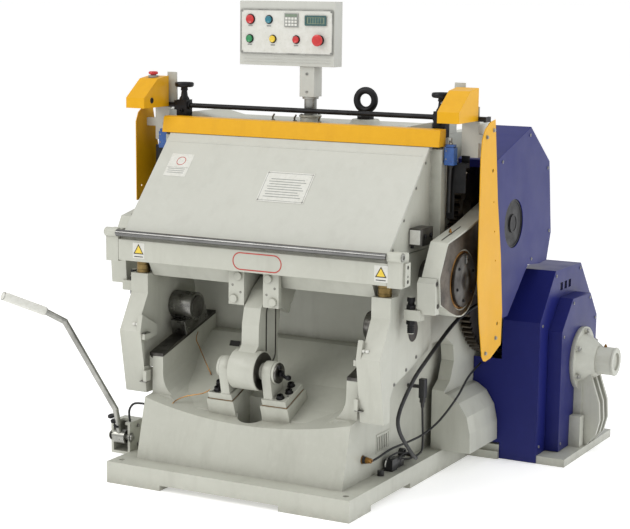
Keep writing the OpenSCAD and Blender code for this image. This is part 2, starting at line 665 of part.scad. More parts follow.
base_casting();
rail_strips();
side_frame_left();
side_frame_right();
die_bed();
top_beam();
lifting_eye();
control_pole();
cross_rod();
rod_clamps();
hood_left();
hood_right();
mount_plates();
gear_shields();
side_guard_left();
side_guard_right();
gear_cover_left();
gear_cover_right();
belt_cover();
clutch_cover();
outer_bearing();
motor();
v_belts();
swing_brackets();
lever_box();
main_cable();
thin_cables();
cable_fittings();
platen_casting();
front_cover();
beam();
end_blocks();
chrome_bar();
leg_left();
leg_right();
bumpers();
trunnions();
cheek_plates();
guide_blocks();
slippers();
con_rod_left();
con_rod_right();
crank_shaft();
idler_shaft();
clutch_shaft();
flywheel();
motor_pulley();
safety_bar();
swing_arm();
handwheel_left();
handwheel_right();
control_box();
button_start();
button_jog();
button_green();
button_yellow();
button_stop();
panel_e_stop();
hood_e_stop();
hand_lever();
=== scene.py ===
import json
import math
import bpy
import bmesh
from mathutils import Matrix, Vector


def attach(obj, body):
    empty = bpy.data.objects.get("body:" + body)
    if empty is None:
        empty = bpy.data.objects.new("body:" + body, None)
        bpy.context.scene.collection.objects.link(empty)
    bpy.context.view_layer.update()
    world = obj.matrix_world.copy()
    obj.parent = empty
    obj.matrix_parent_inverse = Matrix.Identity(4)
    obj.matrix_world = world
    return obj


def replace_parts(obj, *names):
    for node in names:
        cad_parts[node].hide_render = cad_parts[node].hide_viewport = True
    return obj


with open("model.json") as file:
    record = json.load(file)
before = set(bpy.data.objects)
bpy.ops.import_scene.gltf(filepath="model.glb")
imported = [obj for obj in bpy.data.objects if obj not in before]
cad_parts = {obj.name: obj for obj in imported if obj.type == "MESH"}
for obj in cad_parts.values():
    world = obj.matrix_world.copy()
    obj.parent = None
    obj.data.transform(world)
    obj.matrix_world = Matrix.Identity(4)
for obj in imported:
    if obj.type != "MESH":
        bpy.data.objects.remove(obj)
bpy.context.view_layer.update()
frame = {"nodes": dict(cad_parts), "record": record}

NODES = frame["nodes"]
scene = bpy.context.scene
MM = 0.001


# ---- camera ---------------------------------------------------------------
CAMERA_AT = (2.996, -5.506, 1.764)
CAMERA_YAW, CAMERA_PITCH, CAMERA_ROLL = 28.8, 10.45, 0.5
SENSOR_MM, LENS_MM = 36, 100.388571
SHIFT_X, SHIFT_Y = 0.04428571, 0.06619048


def make_camera():
    yaw, pitch, roll = (math.radians(a) for a in (CAMERA_YAW, CAMERA_PITCH, CAMERA_ROLL))
    fwd = Vector((-math.sin(yaw) * math.cos(pitch), math.cos(yaw) * math.cos(pitch), -math.sin(pitch)))
    right = Vector((math.cos(yaw), math.sin(yaw), 0))
    up = right.cross(fwd)
    x = right * math.cos(roll) + up * math.sin(roll)
    y = up * math.cos(roll) - right * math.sin(roll)
    cam = bpy.data.objects.new("camera", bpy.data.cameras.new("camera"))
    scene.collection.objects.link(cam)
    m = Matrix((x, y, -fwd)).transposed().to_4x4()
    m.translation = Vector(CAMERA_AT)
    cam.matrix_world = m
    cam.data.sensor_width = SENSOR_MM
    cam.data.lens = LENS_MM
    cam.data.shift_x = SHIFT_X
    cam.data.shift_y = SHIFT_Y
    scene.camera = cam


make_camera()
scene.view_settings.view_transform = "Standard"


# ---- materials ------------------------------------------------------------
def srgb(r, g, b):
    def f(c):
        c /= 255
        return c / 12.92 if c <= 0.04045 else ((c + 0.055) / 1.055) ** 2.4
    return (f(r), f(g), f(b), 1)


class Mat:
    """A procedural material: a principled shader and the nodes that feed it."""

    def __init__(self, name, **sockets):
        self.material = bpy.data.materials.new(name)
        self.material.use_nodes = True
        self.tree = self.material.node_tree
        self.tree.nodes.clear()
        self.out = self.node("ShaderNodeOutputMaterial")
        self.shader = self.node("ShaderNodeBsdfPrincipled")
        self.link(self.shader.outputs[0], self.out.inputs[0])
        for k, v in sockets.items():
            self.shader.inputs[k.replace("_", " ")].default_value = v
        self.coords = self.node("ShaderNodeTexCoord").outputs["Object"]
        self.last_normal = None

    def node(self, kind, **props):
        new = self.tree.nodes.new(kind)
        for k, v in props.items():
            setattr(new, k, v)
        return new

    def link(self, a, b):
        self.tree.links.new(a, b)

    def stretch(self, sx, sy, sz):
        """Coordinates stretched along an axis, for brushed or drawn marks."""
        v = self.node("ShaderNodeVectorMath", operation="MULTIPLY")
        self.link(self.coords, v.inputs[0])
        v.inputs[1].default_value = (sx, sy, sz)
        return v.outputs[0]

    def noise(self, scale, detail=3, rough=0.5, co=None):
        t = self.node("ShaderNodeTexNoise")
        self.link(co or self.coords, t.inputs["Vector"])
        t.inputs["Scale"].default_value = scale
        t.inputs["Detail"].default_value = detail
        t.inputs["Roughness"].default_value = rough
        return t.outputs[0]

    def remap(self, value, lo, hi, to_lo=0.0, to_hi=1.0):
        r = self.node("ShaderNodeMapRange")
        self.link(value, r.inputs[0])
        for i, v in enumerate((lo, hi, to_lo, to_hi)):
            r.inputs[i + 1].default_value = v
        return r.outputs[0]

    def math(self, op, a, b):
        k = self.node("ShaderNodeMath", operation=op)
        for i, v in enumerate((a, b)):
            if isinstance(v, (int, float)):
                k.inputs[i].default_value = v
            else:
                self.link(v, k.inputs[i])
        return k.outputs[0]

    def mix(self, fac, a, b):
        k = self.node("ShaderNodeMix", data_type="RGBA")
        for i, v in ((0, fac), (6, a), (7, b)):
            if isinstance(v, (tuple, float, int)):
                k.inputs[i].default_value = v
            else:
                self.link(v, k.inputs[i])
        return k.outputs[2]

    def color(self, c):
        self.link(c, self.shader.inputs["Base Color"])

    def rough(self, v):
        self.link(v, self.shader.inputs["Roughness"])

    def bump(self, height, strength, distance):
        k = self.node("ShaderNodeBump")
        k.inputs["Strength"].default_value = strength
        k.inputs["Distance"].default_value = distance
        self.link(height, k.inputs["Height"])
        if self.last_normal is not None:
            self.link(self.last_normal, k.inputs["Normal"])
        self.last_normal = k.outputs[0]
        self.link(k.outputs[0], self.shader.inputs["Normal"])

    def hollow_shade(self, distance=0.05, samples=4):
        # Ambient occlusion mask: 1 in corners, hollows and gaps between parts, where shade falls; mixed into
        # a colour it paints shade there.
        k = self.node("ShaderNodeAmbientOcclusion", samples=samples, only_local=False)
        k.inputs["Distance"].default_value = distance
        return self.remap(k.outputs["AO"], 0.35, 0.95, 1.0, 0.0)

    def edges(self, radius=0.002):
        """1 at convex and concave edges, 0 on faces."""
        bev = self.node("ShaderNodeBevel", samples=4)
        bev.inputs["Radius"].default_value = radius
        geo = self.node("ShaderNodeNewGeometry")
        d = self.node("ShaderNodeVectorMath", operation="DOT_PRODUCT")
        self.link(bev.outputs[0], d.inputs[0])
        self.link(geo.outputs["Normal"], d.inputs[1])
        return self.remap(d.outputs["Value"], 0.995, 0.90, 0.0, 1.0)


def enamel(name, base, shade, light, roughness=(0.3, 0.42), peel=0.12, cast=0.25, dirt_and_shade=0.55, dirt_and_shade_col=None,
           wear=0.5, wear_col=None, coat=0.0, specular=0.5):
    """Sprayed enamel: orange peel, patchy tone, grime and painted shade in corners, and rubbed edges."""
    k = Mat(name, Specular_IOR_Level=specular, Coat_Weight=coat, Coat_Roughness=0.12)
    patch = k.remap(k.noise(2.6, 4, 0.55), 0.35, 0.65)
    c = k.mix(patch, base, shade)
    mottle = k.remap(k.noise(38, 5, 0.6), 0.48, 0.72, 0, 0.35)
    c = k.mix(mottle, c, light)
    streak = k.remap(k.noise(16, 4, 0.6, k.stretch(1, 1, 0.12)), 0.52, 0.75, 0, 0.22 * dirt_and_shade)
    c = k.mix(streak, c, dirt_and_shade_col or srgb(98, 92, 78))
    # Painted shade: the dirt colour goes where ambient occlusion finds corners and gaps, broken up by noise,
    # so grime and shade are painted together.
    shade_and_grime = k.math("MULTIPLY", k.hollow_shade(), k.remap(k.noise(24, 5, 0.65), 0.3, 0.7, 0.35 * dirt_and_shade, dirt_and_shade))
    c = k.mix(shade_and_grime, c, dirt_and_shade_col or srgb(98, 92, 78))
    if wear:
        rub = k.math("MULTIPLY", k.edges(), k.remap(k.noise(60, 5, 0.7), 0.5, 0.62, 0, wear))
        c = k.mix(rub, c, wear_col or srgb(140, 138, 130))
    k.color(c)
    k.rough(k.remap(k.noise(9, 4), 0.3, 0.7, *roughness))
    k.bump(k.noise(9, 3, 0.5), cast, 0.004)
    k.bump(k.noise(420, 2, 0.5), peel, 0.0006)
    return k.material


def metal(name, base, dark, roughness=(0.22, 0.4), marks=(1, 1, 1), scale=260, bump=0.08, metallic=1.0,
          dirt_and_shade=0.4, dirt_and_shade_col=None, specular=0.5):
    """Machined or cast metal with tool marks, stains, and oil and painted shade in the corners."""
    k = Mat(name, Metallic=metallic, Specular_IOR_Level=specular)
    tool = k.noise(scale, 3, 0.6, k.stretch(*marks))
    c = k.mix(k.remap(k.noise(14, 5, 0.6), 0.38, 0.66), base, dark)
    c = k.mix(k.remap(tool, 0.45, 0.7, 0, 0.35), c, dark)
    # Painted shade: the dark oil colour goes where ambient occlusion finds corners, so oil and shade are
    # painted together.
    shade_and_grime = k.math("MULTIPLY", k.hollow_shade(0.03), dirt_and_shade)
    c = k.mix(shade_and_grime, c, dirt_and_shade_col or srgb(30, 26, 22))
    k.color(c)
    k.rough(k.remap(k.noise(34, 5, 0.6), 0.3, 0.7, *roughness))
    k.bump(tool, bump, 0.0006)
    return k.material


def plastic(name, base, light, roughness=(0.28, 0.4), bump=0.05, scale=900, dirt_and_shade=0.25, coat=0.0):
    """Moulded plastic or rubber with a fine grain, handling marks and painted shade in its crevices."""
    k = Mat(name, Coat_Weight=coat, Coat_Roughness=0.08)
    c = k.mix(k.remap(k.noise(60, 4, 0.6), 0.4, 0.7), base, light)
    # Painted shade: near black where ambient occlusion finds crevices.
    shade_and_grime = k.math("MULTIPLY", k.hollow_shade(0.012), dirt_and_shade)
    c = k.mix(shade_and_grime, c, srgb(20, 18, 16))
    k.color(c)
    k.rough(k.remap(k.noise(90, 4), 0.3, 0.7, *roughness))
    k.bump(k.noise(scale, 2), bump, 0.0004)
    return k.material


MATERIAL = {}
MATERIAL["grey"] = enamel("grey_enamel", srgb(192, 193, 184), srgb(189, 190, 181), srgb(197, 198, 190),
                          cast=0.08, dirt_and_shade=0.35)
MATERIAL["casting"] = enamel("grey_casting", srgb(188, 189, 178), srgb(182, 183, 172), srgb(194, 195, 185),
                             roughness=(0.34, 0.5), peel=0.18, cast=0.45, dirt_and_shade=0.62)
MATERIAL["panel_grey"] = enamel("box_enamel", srgb(190, 191, 184), srgb(184, 185, 178), srgb(196, 197, 190),
                                peel=0.1, cast=0.0, dirt_and_shade=0.3, wear=0.2)
MATERIAL["blue"] = enamel("blue_enamel", srgb(27, 32, 101), srgb(24, 29, 94), srgb(30, 36, 108),
                          roughness=(0.3, 0.4),
                          peel=0.1, cast=0.06, dirt_and_shade=0.25, dirt_and_shade_col=srgb(18, 19, 52), wear=0.15,
                          wear_col=srgb(60, 66, 120), specular=0.22)
MATERIAL["amber"] = enamel("amber_enamel", srgb(222, 166, 18), srgb(217, 160, 14), srgb(227, 172, 26),
                           roughness=(0.3, 0.4), peel=0.08, cast=0.05, dirt_and_shade=0.35, dirt_and_shade_col=srgb(120, 70, 14),
                           wear=0.2, wear_col=srgb(190, 140, 70), specular=0.25)
MATERIAL["steel"] = metal("turned_steel", srgb(150, 150, 146), srgb(96, 94, 90), marks=(30, 1, 1))
MATERIAL["ground"] = metal("ground_steel", srgb(190, 190, 184), srgb(140, 139, 134), (0.18, 0.32),
                           (1, 0.05, 0.05), 500)
MATERIAL["dark"] = metal("oiled_dark_steel", srgb(118, 116, 112), srgb(70, 68, 66), (0.28, 0.45),
                         (20, 1, 1))
# Painted shade: this darker brown-grey stands for the shade on the con rods' outer faces; the shafts share
# it.
MATERIAL["shaded_rod_face"] = metal("rod_face_painted_shade", srgb(112, 104, 94), srgb(66, 60, 54), (0.3, 0.46),
                             (1, 1, 1), 180)
MATERIAL["black"] = metal("blackened_steel", srgb(34, 34, 36), srgb(18, 18, 20), (0.3, 0.5), (1, 1, 1),
                          500, 0.1, 0.6)
MATERIAL["iron"] = metal("bare_casting", srgb(84, 82, 80), srgb(52, 50, 48), (0.45, 0.65), (1, 1, 1), 300,
                         0.3, 0.8)
MATERIAL["chrome"] = metal("hard_chrome", srgb(122, 122, 121), srgb(108, 108, 107), (0.16, 0.24),
                           (0.02, 1, 1), 600, 0.01, dirt_and_shade=0.2)
MATERIAL["brass"] = metal("cast_brass", srgb(150, 128, 84), srgb(104, 86, 52), (0.35, 0.5), (1, 1, 1),
                          300, 0.15)
MATERIAL["bronze"] = metal("bearing_bronze", srgb(176, 132, 74), srgb(120, 82, 40), (0.25, 0.4),
                           (1, 1, 1), 300, 0.08)
MATERIAL["zinc"] = metal("zinc_plate", srgb(176, 176, 170), srgb(130, 130, 126), (0.25, 0.4), (1, 1, 1),
                         500, 0.06)
MATERIAL["rubber"] = plastic("cable_rubber", srgb(24, 24, 25), srgb(36, 36, 38), (0.45, 0.6), 0.12, 700)
MATERIAL["black_plastic"] = plastic("black_plastic", srgb(26, 26, 28), srgb(38, 38, 40))
MATERIAL["white_plastic"] = plastic("white_plastic", srgb(212, 212, 204), srgb(222, 222, 216))
MATERIAL["red"] = plastic("red_plastic", srgb(186, 30, 32), srgb(204, 48, 46), coat=0.3)
MATERIAL["green"] = plastic("green_plastic", srgb(20, 120, 66), srgb(34, 140, 84), coat=0.3)
MATERIAL["teal"] = plastic("teal_plastic", srgb(20, 108, 126), srgb(34, 126, 142), coat=0.3)
MATERIAL["yellow"] = plastic("yellow_plastic", srgb(222, 190, 42), srgb(232, 204, 72), coat=0.3)
MATERIAL["lcd_frame"] = plastic("lcd_frame", srgb(48, 84, 84), srgb(60, 98, 96))
MATERIAL["lcd"] = plastic("lcd_glass", srgb(112, 128, 108), srgb(122, 138, 118), (0.08, 0.14), 0.0,
                          coat=0.5)
MATERIAL["plate"] = plastic("plate_white", srgb(206, 206, 198), srgb(214, 214, 208), (0.25, 0.35), 0.03)
MATERIAL["plate_grey"] = plastic("plate_grey", srgb(140, 142, 138), srgb(150, 152, 148), (0.3, 0.4), 0.03)
MATERIAL["red_ink"] = plastic("red_ink", srgb(176, 60, 52), srgb(186, 74, 64), (0.3, 0.4), 0.03)
MATERIAL["sensor_blue"] = plastic("sensor_blue", srgb(44, 84, 150), srgb(56, 98, 164))
# Near-black sheets over openings: painted shade for the dark inside of the vent and the bowl port.
MATERIAL["shade_hole"] = plastic("hole_painted_shade", srgb(16, 15, 14), srgb(26, 24, 22), (0.5, 0.7), 0.2, 200)

CAD_MATERIAL = {
    "grey_paint": "casting", "blue_paint": "blue", "amber_paint": "amber", "machined_steel": "steel",
    "black_steel": "black", "cast_iron_bare": "iron", "chrome_bar": "chrome", "brass_bumper": "brass",
    "black_rubber": "rubber", "black_plastic": "black_plastic", "red_plastic": "red", "teal_plastic": "teal",
    "green_plastic": "green", "yellow_plastic": "yellow"}
OWN_MATERIAL = {
    "control_box": "panel_grey", "front_cover": "grey", "mount_plates": "grey", "rail_strips": "dark",
    "slippers": "steel", "trunnions": "dark", "guide_blocks": "dark", "control_pole": "zinc",
    "cross_rod": "black", "rod_clamps": "black", "hand_lever": "zinc", "crank_shaft": "shaded_rod_face",
    "idler_shaft": "shaded_rod_face", "clutch_shaft": "shaded_rod_face"}
# softened edges: width in mm for each CAD node
ROUND = {
    "base_casting": 7, "side_frame_left": 4, "side_frame_right": 4, "die_bed": 3, "top_beam": 4,
    "outer_bearing": 2.5, "swing_brackets": 3, "lever_box": 4, "platen_casting": 3, "front_cover": 2,
    "beam": 3, "end_blocks": 1.2, "leg_left": 5, "leg_right": 5, "cheek_plates": 2, "con_rod_left": 3,
    "con_rod_right": 3, "swing_arm": 7, "gear_cover_left": 2, "gear_cover_right": 2, "belt_cover": 2,
    "clutch_cover": 2, "hood_left": 2, "hood_right": 2, "side_guard_left": 0.8, "side_guard_right": 0.8,
    "mount_plates": 1, "gear_shields": 1, "safety_bar": 1.2, "control_box": 2, "slippers": 2,
    "guide_blocks": 2, "rail_strips": 1, "flywheel": 2}
slot_of = {s["node"]: s["material_slot"] for s in frame["record"]["subparts"]}


def soften(o, width_mm, segments=2, weld=True, angle=28):
    """Rounds the edges of an object that are sharper than the angle."""
    if weld:
        w = o.modifiers.new("weld", "WELD")
        w.merge_threshold = 0.00002
        d = o.modifiers.new("flat", "DECIMATE")
        d.decimate_type = "DISSOLVE"
        d.angle_limit = math.radians(0.5)
    b = o.modifiers.new("round", "BEVEL")
    b.width = width_mm * MM
    b.segments = segments
    b.limit_method = "ANGLE"
    b.angle_limit = math.radians(angle)
    b.use_clamp_overlap = True
    b.harden_normals = True


for name, o in NODES.items():
    o.data.materials.clear()
    o.data.materials.append(MATERIAL[OWN_MATERIAL.get(name, CAD_MATERIAL[slot_of[name]])])
    for p in o.data.polygons:
        p.material_index = 0
    if name in ROUND:
        soften(o, ROUND[name])


# ---- shapes ---------------------------------------------------------------
class Shape:
    """Collects solids, in millimetres in the row frame, into one object."""

    def __init__(self):
        self.bm = bmesh.new()

    def solid(self, rings):
        """Skins closed rings of equal length and caps both ends."""
        rows = [[self.bm.verts.new(p) for p in ring] for ring in rings]
        n = len(rows[0])
        for a, b in zip(rows, rows[1:]):
            for i in range(n):
                self.bm.faces.new((a[i], a[(i + 1) % n], b[(i + 1) % n], b[i]))
        self.bm.faces.new(rows[0][::-1])
        self.bm.faces.new(rows[-1])

    def turned(self, at, axis, profile, n=28, spin=0.0):
        """profile: (distance along the axis, radius[, sides]); with sides the ring is a polygon."""
        at, axis = Vector(at), Vector(axis).normalized()
        u = axis.orthogonal().normalized()
        v = axis.cross(u)
        rings = []
        for p in profile:
            ring = []
            for i in range(n):
                t = 2 * math.pi * i / n
                r = max(p[1], 0.02)
                if len(p) > 2:
                    w = 2 * math.pi / p[2]
                    r = r * math.cos(w / 2) / math.cos((t + spin) % w - w / 2)
                ring.append(at + axis * p[0] + u * (r * math.cos(t)) + v * (r * math.sin(t)))
            rings.append(ring)
        self.solid(rings)
        return self

    def prism(self, corner, u, v, outline, depth):
        """An outline in the plane of u and v, given depth along u x v."""
        corner, u, v = Vector(corner), Vector(u).normalized(), Vector(v).normalized()
        w = u.cross(v) * depth
        base = [corner + u * a + v * b for a, b in outline]
        self.solid([base, [p + w for p in base]])
        return self

    def block(self, x, y, z):
        """A box between two values on each axis."""
        wide, deep = x[1] - x[0], y[1] - y[0]
        outline = [(0, 0), (wide, 0), (wide, deep), (0, deep)]
        return self.prism((x[0], y[0], z[0]), (1, 0, 0), (0, 1, 0), outline, z[1] - z[0])

    def wire(self, points, r, n=10, steps=8):
        pts = smooth(points, steps)
        rings, side = [], Vector((0.31, 0.27, 0.91))
        for i, p in enumerate(pts):
            t = (pts[min(i + 1, len(pts) - 1)] - pts[max(i - 1, 0)]).normalized()
            u = t.cross(side).normalized()
            v = t.cross(u)
            rings.append([p + (u * math.cos(2 * math.pi * k / n) + v * math.sin(2 * math.pi * k / n)) * r
                          for k in range(n)])
        self.solid(rings)
        return self

    def cap_screw(self, at, axis, r=5.0, h=5.0):
        """A screw head with a hexagon socket."""
        socket = [(h, r * 0.55, 6), (h * 0.4, r * 0.52, 6), (h * 0.4, 0)]
        return self.turned(at, axis, [(0, r), (h * 0.85, r), (h, r * 0.9)] + socket, 24)

    def hex_bolt(self, at, axis, r=7.0, h=5.0, washer=True):
        if washer:
            self.turned(at, axis, [(0, r * 1.25), (1.2, r * 1.25), (1.6, r * 1.2)], 24)
        return self.turned(Vector(at) + Vector(axis).normalized() * 1.5, axis,
                           [(0, r, 6), (h * 0.8, r, 6), (h, r * 0.84), (h, 0)], 24)

    def done(self, name, body, mat, round_mm=0.5, segments=2, angle=40):
        bmesh.ops.recalc_face_normals(self.bm, faces=self.bm.faces)
        bmesh.ops.scale(self.bm, vec=(MM, MM, MM), verts=self.bm.verts)
        mesh = bpy.data.meshes.new(name)
        self.bm.to_mesh(mesh)
        self.bm.free()
        mesh.materials.append(MATERIAL[mat])
        for p in mesh.polygons:
            p.use_smooth = True
        mesh.set_sharp_from_angle(angle=math.radians(angle))
        o = bpy.data.objects.new(name, mesh)
        scene.collection.objects.link(o)
        if round_mm:
            soften(o, round_mm, segments, weld=False, angle=angle)
        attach(o, body)
        return o


def smooth(points, steps):
    p = [Vector(q) for q in points]
    out = []
    for i in range(len(p) - 1):
        a, b, c, d = p[max(i - 1, 0)], p[i], p[i + 1], p[min(i + 2, len(p) - 1)]
        for k in range(steps):
            u = k / steps
            out.append(0.5 * (2 * b + (c - a) * u + (2 * a - 5 * b + 4 * c - d) * u * u
                              + (3 * b - 3 * c + d - a) * u ** 3))
    return out + [p[-1]]


def rect(a0, a1, b0, b1, r=0.0, k=4):
    """A rectangle's outline, its corners rounded by r."""
    if not r:
        return [(a0, b0), (a1, b0), (a1, b1), (a0, b1)]
    out = []
    for cx, cy, s in ((a1 - r, b0 + r, -90), (a1 - r, b1 - r, 0), (a0 + r, b1 - r, 90),
                      (a0 + r, b0 + r, 180)):
        for i in range(k + 1):
            t = math.radians(s + 90 * i / k)
            out.append((cx + r * math.cos(t), cy + r * math.sin(t)))
    return out


def circle(r):
    """A circle's outline in 36 points."""
    angles = [i / 18 * math.pi for i in range(36)]
    return [(math.cos(t) * r, math.sin(t) * r) for t in angles]


def arm_slot(r):
    """The swing arm's slot, r away from the line between its two round ends."""
    angles = [math.pi * k / 12 for k in range(13)]
    top = [(-235 + r * math.cos(t), 625 + r * math.sin(t)) for t in angles]
    return top + [(-235 + r * math.cos(math.pi + t), 480 + r * math.sin(math.pi + t)) for t in angles]


def ray_band(centre, edge, hole_r, n=96):
    """Where n rays from the centre leave an outline, and where they leave a round hole."""
    outer, inner = [], []
    for k in range(n):
        t = 2 * math.pi * k / n
        d = Vector((math.cos(t), math.sin(t)))
        best = 0
        for i in range(len(edge)):
            a, b = Vector(edge[i]) - centre, Vector(edge[(i + 1) % len(edge)]) - centre
            den = d.x * (b - a).y - d.y * (b - a).x
            if abs(den) > 1e-6:
                u = (a.x * d.y - a.y * d.x) / den
                w = (a.x * (b - a).y - a.y * (b - a).x) / den
                if -1e-6 <= u <= 1 + 1e-6 and w > best:
                    best = w
        outer.append((centre.x + d.x * best, centre.y + d.y * best))
        inner.append((centre.x + hole_r * d.x, centre.y + hole_r * d.y))
    return outer, inner


def band(s, corner, u, v, outer, inner, depth):
    """A flat ring between two outlines with as many points each."""
    corner, u, v = Vector(corner), Vector(u).normalized(), Vector(v).normalized()
    w = u.cross(v) * depth
    n = len(outer)
    rows = [[s.bm.verts.new(corner + u * a + v * b + q) for a, b in line]
            for line, q in ((inner, w * 0), (outer, w * 0), (outer, w), (inner, w))]
    for i in range(4):
        a, b = rows[i], rows[(i + 1) % 4]
        for j in range(n):
            s.bm.faces.new((a[j], a[(j + 1) % n], b[(j + 1) % n], b[j]))
    return s


X, Y, Z = Vector((1, 0, 0)), Vector((0, 1, 0)), Vector((0, 0, 1))
SIDES = ((-1, "left"), (1, "right"))
# centres of the turning parts, as (y, z) in millimetres
TRUNNION, CRANK, ARM_PIN, CLUTCH = (-10, 765), (375, 918), (-322, 434), (816, 356.4)

# ---- cords ------------------------------------------------------------------
MAIN = [(686, 440, 700), (640, 430, 690), (590, 388, 630), (552, 320, 598), (540, 190, 560),
        (536, -20, 470), (534, -125, 415), (532, -225, 325), (530, -214, 255), (520, -90, 150),
        (505, -20, 115), (472, 20, 110), (414, 40, 110)]
THIN = [(520, 514.5, 360), (530, 440, 354), (546, 330, 340), (551, 225, 290), (528, 130, 224),
        (478, 110, 172), (447, 50, 152), (436, -77, 152), (440, -190, 148), (442, -255, 150),
        (416, -262, 153)]
LEVER = [(-414.3, -338, 258), (-440, -341, 262), (-474, -343, 256), (-494, -341, 228),
         (-496, -334, 186.5)]


def cord(name, route, r, steps=12):
    o = Shape().wire(route, r, 14, steps).done(name, "machine", "rubber", 0)
    return o


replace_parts(cord("cord_main", MAIN, 7), "main_cable")
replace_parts(cord("cord_base", THIN, 4), "thin_cables")
cord("cord_lever", LEVER, 4)

# ---- control box ----------------------------------------------------------------
s = Shape()
band(s, (0, 90, 0), X, Z, rect(-283, 96, 1508, 1668, 6), rect(-279, 92, 1512, 1664, 4), 2.4)
s.done("panel_frame", "panel", "zinc", 0.4)
Shape().prism((0, 90, 0), X, Z, rect(-281, 94, 1510, 1666, 5), 1.2).done(
    "panel_face", "panel", "plate", 0.3)
s = Shape()
for x in (-276, 89):
    for z in (1515, 1661):
        s.cap_screw((x, 89, z), -Y, 3.4, 2.4)
s.done("panel_screws", "panel", "zinc", 0.2)
s = Shape()
for z in (1480, 1490, 1500):
    s.block((-270, 84), (90.8, 92.4), (z - 1.4, z + 1.4))
s.done("box_lower_ribs", "panel", "panel_grey", 0.5)
Shape().block((-99, -44), (84.4, 86.2), (1606, 1654)).done("keypad_face", "panel", "plate_grey", 0.4)
s = Shape()
for i in range(4):
    for j in range(3):
        s.prism((-95 + 12.6 * i, 84.4, 1610 + 11 * j), X, Z, rect(0, 9.8, 0, 8, 1.4), 1.5)
s.done("keypad_keys", "panel", "white_plastic", 0.35)
Shape().prism((-95, 84.4, 1642.5), X, Z, rect(0, 47, 0, 9, 1), 0.8).done(
    "keypad_display", "panel", "lcd", 0.2)
band(Shape(), (0, 86.2, 0), X, Z, rect(-16, 71, 1612, 1648, 3), rect(-9, 64, 1618, 1642, 1), 3).done(
    "counter_frame", "panel", "lcd_frame", 0.5)
Shape().prism((-9, 86, 1618), X, Z, rect(0, 73, 0, 24), 0.9).done("counter_glass", "panel", "lcd", 0.2)
s = Shape()
for i in range(6):
    s.prism((-2 + 10.4 * i, 85.1, 1621), X, Z, rect(0, 6.8, 0, 18, 0.6), 0.35)
s.done("counter_blank_cells", "panel", "lcd_frame", 0)
PLACES = {"button_start": (-241.5, 1631.5, 16), "button_jog": (-164.5, 1631, 13),
          "button_green": (-244, 1561.5, 13),
          "button_yellow": (-148, 1562, 12), "button_stop": (-52, 1561.5, 12.5)}
s = Shape()
for x, z, r in PLACES.values():
    band(s, (x, 89.9, z), X, Z, circle(r + 3.2),
         circle(r - 3.4), 2.6)
band(s, (42, 89.9, 1561), X, Z, circle(19), circle(11), 4)
s.done("button_bezels", "panel", "black_plastic", 0.6)
for (name, (x, z, r)), mat in zip(PLACES.items(), ("red", "teal", "green", "yellow", "red")):
    profile = [(0, r - 4.4), (17, r - 4.4), (17, r - 0.4), (21, r), (22.4, r - 0.8), (23, r - 2.4),
               (22.2, r - 4), (21.9, 0.1)]
    o = Shape().turned((x, 103, z), -Y, profile, 40).done(name + "_cap", "b_" + name, mat, 0.3)
    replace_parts(o, name)
profile = [(0, 9.6), (27, 9.6), (27, 17), (29, 20.2), (33, 21), (35.6, 19.6), (36.8, 16), (37, 9),
           (36.6, 0.1)]
o = Shape().turned((42, 103, 1561), -Y, profile, 44).done("panel_stop_mushroom", "b_panel_e_stop", "red", 0.3)
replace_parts(o, "panel_e_stop")
s = Shape()
for x, z, _ in PLACES.values():
    s.prism((x - 9, 88.8, 1606 if z > 1600 else 1538), X, Z, rect(0, 18, 0, 5, 1), 0.35)
s.done("blank_captions", "panel", "plate_grey", 0)
o = Shape().turned((-625, 30, 1400), Z,
                   [(0, 10.6), (22, 10.6), (22, 15), (24, 17.6), (29, 18), (32, 16.4), (33.6, 12),
                                        (34, 0.1)], 44).done("hood_stop_mushroom", "estop_hood", "red", 0.3)
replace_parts(o, "hood_e_stop")
band(Shape(), (-625, 30, 1410.5), X, Y, circle(19),
     circle(11.2), 8).done(
    "hood_stop_collar", "machine", "zinc", 0.8)
s = Shape()
s.turned((-586.6, -40, 1330), X, [(-3, 10.8), (0.8, 10.8), (1.6, 10), (1.6, 7), (-2, 6), (-2, 0.1)], 32)
s.done("hood_plug", "machine", "black_plastic", 0.3)

# ---- cover, beam and labels --------------------------------------------------------
cover_up = Vector((0, 0.6844, 0.7292))
cover_at = Vector((0, -331, 871)) + Vector((0, -0.7292, 0.6844)) * 0.2
label_out = Vector((0, -0.73, 0.68))
Shape().prism(cover_at, X, cover_up, rect(-51, 138, 191, 323), 1.0).done("notice_plate", "platen",
        "plate", 0.3)
s = Shape()
band(s, cover_at + label_out * 1.0, X, cover_up, rect(-46, 133, 196, 318, 2),
     rect(-44.4, 131.4, 197.6, 316.4, 1.4), 0.25)
for i in range(8):
    s.prism(cover_at + label_out * 1.0, X, cover_up,
            rect(-30 + 5 * (i % 2), 118 - 9 * (i % 3), 212 + 11 * i, 215 + 11 * i), 0.2)
s.done("notice_plate_blank_lines", "platen", "plate_grey", 0)
s = Shape()
for a in (-45, 132):
    for b in (197, 317):
        s.turned(cover_at + X * a + cover_up * b + label_out * 0.9, (0, -0.7292, 0.6844),
                 [(0, 3), (1.2, 2.8), (2, 1.6), (2.1, 0.1)], 16)
s.done("notice_plate_pins", "platen", "zinc", 0)
Shape().prism(cover_at, X, cover_up, rect(-472, -378, 272, 374, 3), 0.5).done("sticker_plate", "platen",
        "plate", 0.2)
s = Shape()
band(s, cover_at + label_out * 0.5 + X * -422 + cover_up * 342, X, cover_up,
     circle(19),
     circle(16.4), 0.25)
s.done("sticker_plain_ring", "platen", "red_ink", 0)
s = Shape()
for b in (287, 296, 305):
    s.prism(cover_at + label_out * 0.5, X, cover_up, rect(-462, -392, b, b + 2.4), 0.2)
s.prism(cover_at + label_out * 0.5, X, cover_up, rect(-470, -380, 312, 313), 0.2)
s.done("sticker_blank_lines", "platen", "plate_grey", 0)
